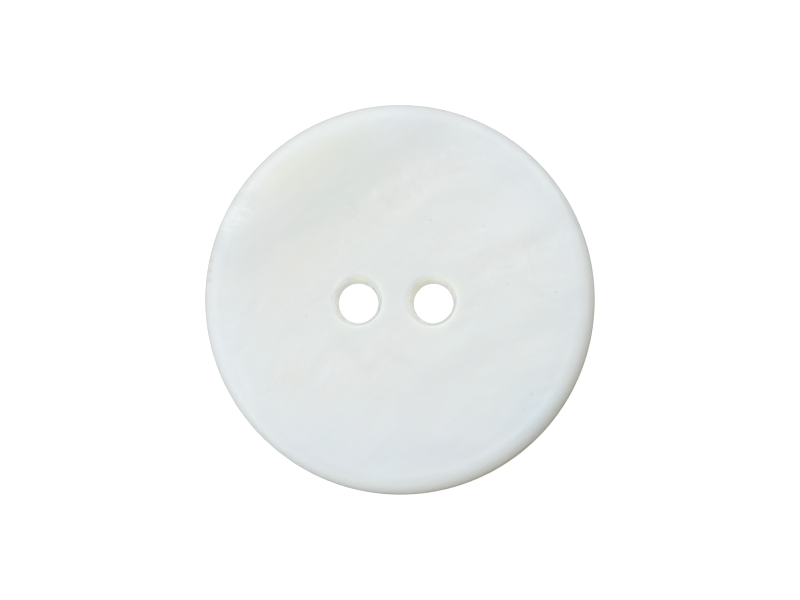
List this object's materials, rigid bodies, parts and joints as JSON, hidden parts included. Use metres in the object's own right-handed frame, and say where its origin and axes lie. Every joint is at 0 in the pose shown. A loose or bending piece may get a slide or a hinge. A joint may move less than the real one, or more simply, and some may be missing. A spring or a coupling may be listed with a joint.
{
  "type": "sew-on button",
  "caption": "Round flat sew-on button of white mother-of-pearl shell, with a slightly sunk face, a rolled edge, a flat back and thread holes through the middle.",
  "frame": {"origin": "centre of the rim circle, on the flat back", "axes": "+Z along the button's axis, out of its face; +X along the line through the thread holes; +Y across that line"},
  "size_m": [0.02, 0.02, 0.0025],
  "materials": {
    "shell": "satin"
  },
  "bodies": {
    "root": {"button_disc": "shell"}
  },
  "joints": []
}
